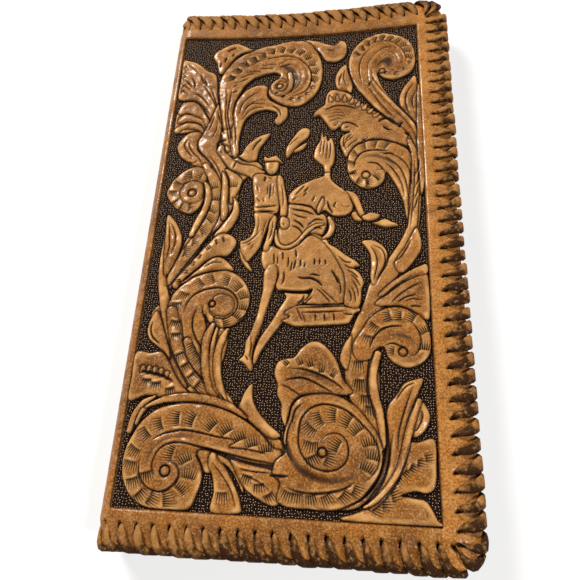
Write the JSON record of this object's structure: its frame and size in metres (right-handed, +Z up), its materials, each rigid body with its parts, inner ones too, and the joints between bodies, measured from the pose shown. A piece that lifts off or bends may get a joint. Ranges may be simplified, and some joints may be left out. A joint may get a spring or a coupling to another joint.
{
  "type": "tooled leather wallet",
  "caption": "Long bifold wallet of tooled leather with laced edges; its covers fold at a spine over banknote pockets, card pockets, a slip pocket and a photo window.",
  "frame": {"origin": "middle of the closed wallet's base, on the surface that it lies on", "axes": "+Z up, out of the front cover; +Y along the wallet; +X from the fold to the laced opening edge"},
  "size_m": [0.0976, 0.181, 0.012],
  "materials": {
    "tooled_leather": "carved and antiqued, satin",
    "inner_leather": "smooth satin",
    "lace": "worn satin",
    "clear_sheet": "clear gloss"
  },
  "bodies": {
    "back_half": {"back_cover": "tooled_leather", "back_inner_panel": "inner_leather", "back_lacing_top": "lace", "back_lacing_side": "lace", "back_lacing_bottom": "lace", "card_pocket_rear": "inner_leather", "card_pocket_middle": "inner_leather", "card_pocket_front": "inner_leather", "window_pocket": "inner_leather", "window_sheet": "clear_sheet"},
    "spine": {"spine": "tooled_leather", "spine_lacing_top": "lace", "spine_lacing_bottom": "lace"},
    "front_half": {"front_cover": "tooled_leather", "front_inner_panel": "inner_leather", "front_lacing_top": "lace", "front_lacing_side": "lace", "front_lacing_bottom": "lace", "front_slip_pocket": "inner_leather"}
  },
  "joints": [
    {"name": "spine_fold", "type": "hinge", "parent": "back_half", "child": "spine", "pos_m": [-0.04655, 0, 0.00223], "axis": [0, -1, 0], "range_deg": [0, 90], "deforming": ["spine", "spine_lacing_top", "spine_lacing_bottom"]},
    {"name": "front_fold", "type": "hinge", "parent": "spine", "child": "front_half", "pos_m": [-0.04655, 0, 0.00977], "axis": [0, -1, 0], "range_deg": [0, 90], "deforming": ["spine", "spine_lacing_top", "spine_lacing_bottom"]}
  ],
  "couplings": [
    {"joint": "front_fold", "follows": "spine_fold", "ratio": 1}
  ]
}
